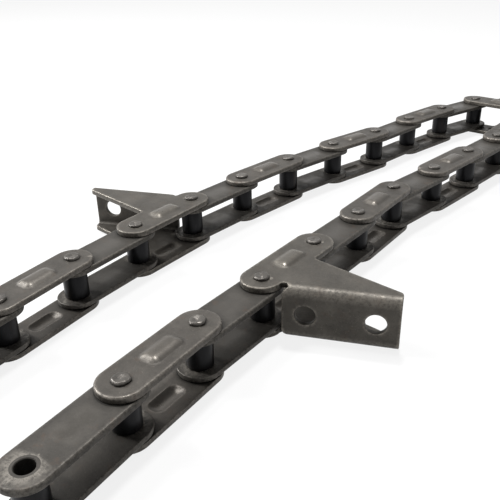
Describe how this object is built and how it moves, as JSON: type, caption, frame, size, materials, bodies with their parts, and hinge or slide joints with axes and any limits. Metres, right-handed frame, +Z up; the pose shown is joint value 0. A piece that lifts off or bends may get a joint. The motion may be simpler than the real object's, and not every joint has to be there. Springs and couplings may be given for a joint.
{
  "type": "double pitch roller chain",
  "caption": "Length of double pitch roller chain on its side, doubled back in a hairpin turn, with bossed outer plates and bent two-hole paddle brackets.",
  "frame": {"origin": "bottom centre of the lay's bounding box, on the surface that the lower rivet heads rest on", "axes": "+X along the two strands towards the turn, +Y from the near strand to the far one, +Z up along the pins"},
  "size_m": [0.4786, 0.1806, 0.0254],
  "materials": {
    "outer_plate_steel": "mill-worn steel, warm grey",
    "bracket_steel": "mill-worn steel, warm grey, lighter",
    "inner_link_steel": "mill-worn steel, darker grey",
    "roller_steel": "blackened steel, satin",
    "pin_steel": "bright riveted steel"
  },
  "bodies": {
    "link_01": {"inner_link_01": "inner_link_steel"},
    "link_02": {"outer_plates_02": "outer_plate_steel", "pins_02": "pin_steel"},
    "link_03": {"inner_link_03": "inner_link_steel"},
    "link_04": {"paddle_bracket_04": "bracket_steel", "pins_04": "pin_steel"},
    "link_05": {"inner_link_05": "inner_link_steel"},
    "link_06": {"outer_plates_06": "outer_plate_steel", "pins_06": "pin_steel"},
    "link_07": {"inner_link_07": "inner_link_steel"},
    "link_08": {"outer_plates_08": "outer_plate_steel", "pins_08": "pin_steel"},
    "link_09": {"inner_link_09": "inner_link_steel"},
    "link_10": {"outer_plates_10": "outer_plate_steel", "pins_10": "pin_steel"},
    "link_11": {"inner_link_11": "inner_link_steel"},
    "link_12": {"paddle_bracket_12": "bracket_steel", "pins_12": "pin_steel"},
    "link_13": {"inner_link_13": "inner_link_steel"},
    "link_14": {"outer_plates_14": "outer_plate_steel", "pins_14": "pin_steel"},
    "link_15": {"inner_link_15": "inner_link_steel"},
    "link_16": {"outer_plates_16": "outer_plate_steel", "pins_16": "pin_steel"},
    "link_17": {"inner_link_17": "inner_link_steel"},
    "link_18": {"outer_plates_18": "outer_plate_steel", "pins_18": "pin_steel"},
    "link_19": {"inner_link_19": "inner_link_steel"},
    "link_20": {"paddle_bracket_20": "bracket_steel", "pins_20": "pin_steel"},
    "link_21": {"inner_link_21": "inner_link_steel"},
    "link_22": {"outer_plates_22": "outer_plate_steel", "pins_22": "pin_steel"},
    "link_23": {"inner_link_23": "inner_link_steel"},
    "roller_01_a": {"roller_01_a": "roller_steel"},
    "roller_01_b": {"roller_01_b": "roller_steel"},
    "roller_03_a": {"roller_03_a": "roller_steel"},
    "roller_03_b": {"roller_03_b": "roller_steel"},
    "roller_05_a": {"roller_05_a": "roller_steel"},
    "roller_05_b": {"roller_05_b": "roller_steel"},
    "roller_07_a": {"roller_07_a": "roller_steel"},
    "roller_07_b": {"roller_07_b": "roller_steel"},
    "roller_09_a": {"roller_09_a": "roller_steel"},
    "roller_09_b": {"roller_09_b": "roller_steel"},
    "roller_11_a": {"roller_11_a": "roller_steel"},
    "roller_11_b": {"roller_11_b": "roller_steel"},
    "roller_13_a": {"roller_13_a": "roller_steel"},
    "roller_13_b": {"roller_13_b": "roller_steel"},
    "roller_15_a": {"roller_15_a": "roller_steel"},
    "roller_15_b": {"roller_15_b": "roller_steel"},
    "roller_17_a": {"roller_17_a": "roller_steel"},
    "roller_17_b": {"roller_17_b": "roller_steel"},
    "roller_19_a": {"roller_19_a": "roller_steel"},
    "roller_19_b": {"roller_19_b": "roller_steel"},
    "roller_21_a": {"roller_21_a": "roller_steel"},
    "roller_21_b": {"roller_21_b": "roller_steel"},
    "roller_23_a": {"roller_23_a": "roller_steel"},
    "roller_23_b": {"roller_23_b": "roller_steel"}
  },
  "joints": [
    {"name": "link_hinge_12_13", "type": "hinge", "parent": "link_13", "child": "link_12", "pos_m": [0.18656, -0.03435, 0.0127], "axis": [0, 0, -1], "range_deg": [-7, 60]},
    {"name": "link_hinge_11_12", "type": "hinge", "parent": "link_12", "child": "link_11", "pos_m": [0.18763, 0.00373, 0.0127], "axis": [0, 0, 1], "range_deg": [-60, 7]},
    {"name": "link_hinge_10_11", "type": "hinge", "parent": "link_11", "child": "link_10", "pos_m": [0.15069, 0.01308, 0.0127], "axis": [0, 0, -1], "range_deg": [-7, 60]},
    {"name": "link_hinge_09_10", "type": "hinge", "parent": "link_10", "child": "link_09", "pos_m": [0.11303, 0.01884, 0.0127], "axis": [0, 0, 1], "range_deg": [-60, 8]},
    {"name": "link_hinge_08_09", "type": "hinge", "parent": "link_09", "child": "link_08", "pos_m": [0.07511, 0.02249, 0.0127], "axis": [0, 0, -1], "range_deg": [-9, 60]},
    {"name": "link_hinge_07_08", "type": "hinge", "parent": "link_08", "child": "link_07", "pos_m": [0.03767, 0.02957, 0.0127], "axis": [0, 0, 1], "range_deg": [-60, 11]},
    {"name": "link_hinge_06_07", "type": "hinge", "parent": "link_07", "child": "link_06", "pos_m": [0, 0.03527, 0.0127], "axis": [0, 0, -1], "range_deg": [-13, 60]},
    {"name": "link_hinge_05_06", "type": "hinge", "parent": "link_06", "child": "link_05", "pos_m": [-0.03802, 0.03786, 0.0127], "axis": [0, 0, 1], "range_deg": [-60, 15]},
    {"name": "link_hinge_04_05", "type": "hinge", "parent": "link_05", "child": "link_04", "pos_m": [-0.07611, 0.03872, 0.0127], "axis": [0, 0, -1], "range_deg": [-19, 26]},
    {"name": "link_hinge_03_04", "type": "hinge", "parent": "link_04", "child": "link_03", "pos_m": [-0.11416, 0.03686, 0.0127], "axis": [0, 0, 1], "range_deg": [-60, 27]},
    {"name": "link_hinge_02_03", "type": "hinge", "parent": "link_03", "child": "link_02", "pos_m": [-0.1521, 0.03334, 0.0127], "axis": [0, 0, -1], "range_deg": [-40, 60]},
    {"name": "link_hinge_01_02", "type": "hinge", "parent": "link_02", "child": "link_01", "pos_m": [-0.18978, 0.02771, 0.0127], "axis": [0, 0, 1], "range_deg": [-60, 40]},
    {"name": "link_hinge_13_14", "type": "hinge", "parent": "link_13", "child": "link_14", "pos_m": [0.14904, -0.04097, 0.0127], "axis": [0, 0, 1], "range_deg": [-8, 60]},
    {"name": "link_hinge_14_15", "type": "hinge", "parent": "link_14", "child": "link_15", "pos_m": [0.11097, -0.04243, 0.0127], "axis": [0, 0, -1], "range_deg": [-60, 8]},
    {"name": "link_hinge_15_16", "type": "hinge", "parent": "link_15", "child": "link_16", "pos_m": [0.07295, -0.03991, 0.0127], "axis": [0, 0, 1], "range_deg": [-10, 60]},
    {"name": "link_hinge_16_17", "type": "hinge", "parent": "link_16", "child": "link_17", "pos_m": [0.03497, -0.03698, 0.0127], "axis": [0, 0, -1], "range_deg": [-60, 11]},
    {"name": "link_hinge_17_18", "type": "hinge", "parent": "link_17", "child": "link_18", "pos_m": [-0.00295, -0.03326, 0.0127], "axis": [0, 0, 1], "range_deg": [-13, 60]},
    {"name": "link_hinge_18_19", "type": "hinge", "parent": "link_18", "child": "link_19", "pos_m": [-0.04098, -0.03552, 0.0127], "axis": [0, 0, -1], "range_deg": [-60, 16]},
    {"name": "link_hinge_19_20", "type": "hinge", "parent": "link_19", "child": "link_20", "pos_m": [-0.07906, -0.03679, 0.0127], "axis": [0, 0, 1], "range_deg": [-20, 60]},
    {"name": "link_hinge_20_21", "type": "hinge", "parent": "link_20", "child": "link_21", "pos_m": [-0.11711, -0.03878, 0.0127], "axis": [0, 0, -1], "range_deg": [-22, 27]},
    {"name": "link_hinge_21_22", "type": "hinge", "parent": "link_21", "child": "link_22", "pos_m": [-0.15516, -0.04071, 0.0127], "axis": [0, 0, 1], "range_deg": [-40, 60]},
    {"name": "link_hinge_22_23", "type": "hinge", "parent": "link_22", "child": "link_23", "pos_m": [-0.19305, -0.04476, 0.0127], "axis": [0, 0, -1], "range_deg": [-60, 40]},
    {"name": "roller_01_a_spin", "type": "hinge", "parent": "link_01", "child": "roller_01_a", "pos_m": [-0.22746, 0.02208, 0.0127], "axis": [0, 0, 1], "continuous": true},
    {"name": "roller_01_b_spin", "type": "hinge", "parent": "link_01", "child": "roller_01_b", "pos_m": [-0.18978, 0.02771, 0.0127], "axis": [0, 0, 1], "continuous": true},
    {"name": "roller_03_a_spin", "type": "hinge", "parent": "link_03", "child": "roller_03_a", "pos_m": [-0.1521, 0.03334, 0.0127], "axis": [0, 0, 1], "continuous": true},
    {"name": "roller_03_b_spin", "type": "hinge", "parent": "link_03", "child": "roller_03_b", "pos_m": [-0.11416, 0.03686, 0.0127], "axis": [0, 0, 1], "continuous": true},
    {"name": "roller_05_a_spin", "type": "hinge", "parent": "link_05", "child": "roller_05_a", "pos_m": [-0.07611, 0.03872, 0.0127], "axis": [0, 0, 1], "continuous": true},
    {"name": "roller_05_b_spin", "type": "hinge", "parent": "link_05", "child": "roller_05_b", "pos_m": [-0.03802, 0.03786, 0.0127], "axis": [0, 0, 1], "continuous": true},
    {"name": "roller_07_a_spin", "type": "hinge", "parent": "link_07", "child": "roller_07_a", "pos_m": [0, 0.03527, 0.0127], "axis": [0, 0, 1], "continuous": true},
    {"name": "roller_07_b_spin", "type": "hinge", "parent": "link_07", "child": "roller_07_b", "pos_m": [0.03767, 0.02957, 0.0127], "axis": [0, 0, 1], "continuous": true},
    {"name": "roller_09_a_spin", "type": "hinge", "parent": "link_09", "child": "roller_09_a", "pos_m": [0.07511, 0.02249, 0.0127], "axis": [0, 0, 1], "continuous": true},
    {"name": "roller_09_b_spin", "type": "hinge", "parent": "link_09", "child": "roller_09_b", "pos_m": [0.11303, 0.01884, 0.0127], "axis": [0, 0, 1], "continuous": true},
    {"name": "roller_11_a_spin", "type": "hinge", "parent": "link_11", "child": "roller_11_a", "pos_m": [0.15069, 0.01308, 0.0127], "axis": [0, 0, 1], "continuous": true},
    {"name": "roller_11_b_spin", "type": "hinge", "parent": "link_11", "child": "roller_11_b", "pos_m": [0.18763, 0.00373, 0.0127], "axis": [0, 0, 1], "continuous": true},
    {"name": "roller_13_a_spin", "type": "hinge", "parent": "link_13", "child": "roller_13_a", "pos_m": [0.18656, -0.03435, 0.0127], "axis": [0, 0, 1], "continuous": true},
    {"name": "roller_13_b_spin", "type": "hinge", "parent": "link_13", "child": "roller_13_b", "pos_m": [0.14904, -0.04097, 0.0127], "axis": [0, 0, 1], "continuous": true},
    {"name": "roller_15_a_spin", "type": "hinge", "parent": "link_15", "child": "roller_15_a", "pos_m": [0.11097, -0.04243, 0.0127], "axis": [0, 0, 1], "continuous": true},
    {"name": "roller_15_b_spin", "type": "hinge", "parent": "link_15", "child": "roller_15_b", "pos_m": [0.07295, -0.03991, 0.0127], "axis": [0, 0, 1], "continuous": true},
    {"name": "roller_17_a_spin", "type": "hinge", "parent": "link_17", "child": "roller_17_a", "pos_m": [0.03497, -0.03698, 0.0127], "axis": [0, 0, 1], "continuous": true},
    {"name": "roller_17_b_spin", "type": "hinge", "parent": "link_17", "child": "roller_17_b", "pos_m": [-0.00295, -0.03326, 0.0127], "axis": [0, 0, 1], "continuous": true},
    {"name": "roller_19_a_spin", "type": "hinge", "parent": "link_19", "child": "roller_19_a", "pos_m": [-0.04098, -0.03552, 0.0127], "axis": [0, 0, 1], "continuous": true},
    {"name": "roller_19_b_spin", "type": "hinge", "parent": "link_19", "child": "roller_19_b", "pos_m": [-0.07906, -0.03679, 0.0127], "axis": [0, 0, 1], "continuous": true},
    {"name": "roller_21_a_spin", "type": "hinge", "parent": "link_21", "child": "roller_21_a", "pos_m": [-0.11711, -0.03878, 0.0127], "axis": [0, 0, 1], "continuous": true},
    {"name": "roller_21_b_spin", "type": "hinge", "parent": "link_21", "child": "roller_21_b", "pos_m": [-0.15516, -0.04071, 0.0127], "axis": [0, 0, 1], "continuous": true},
    {"name": "roller_23_a_spin", "type": "hinge", "parent": "link_23", "child": "roller_23_a", "pos_m": [-0.19305, -0.04476, 0.0127], "axis": [0, 0, 1], "continuous": true},
    {"name": "roller_23_b_spin", "type": "hinge", "parent": "link_23", "child": "roller_23_b", "pos_m": [-0.23082, -0.04973, 0.0127], "axis": [0, 0, 1], "continuous": true}
  ]
}
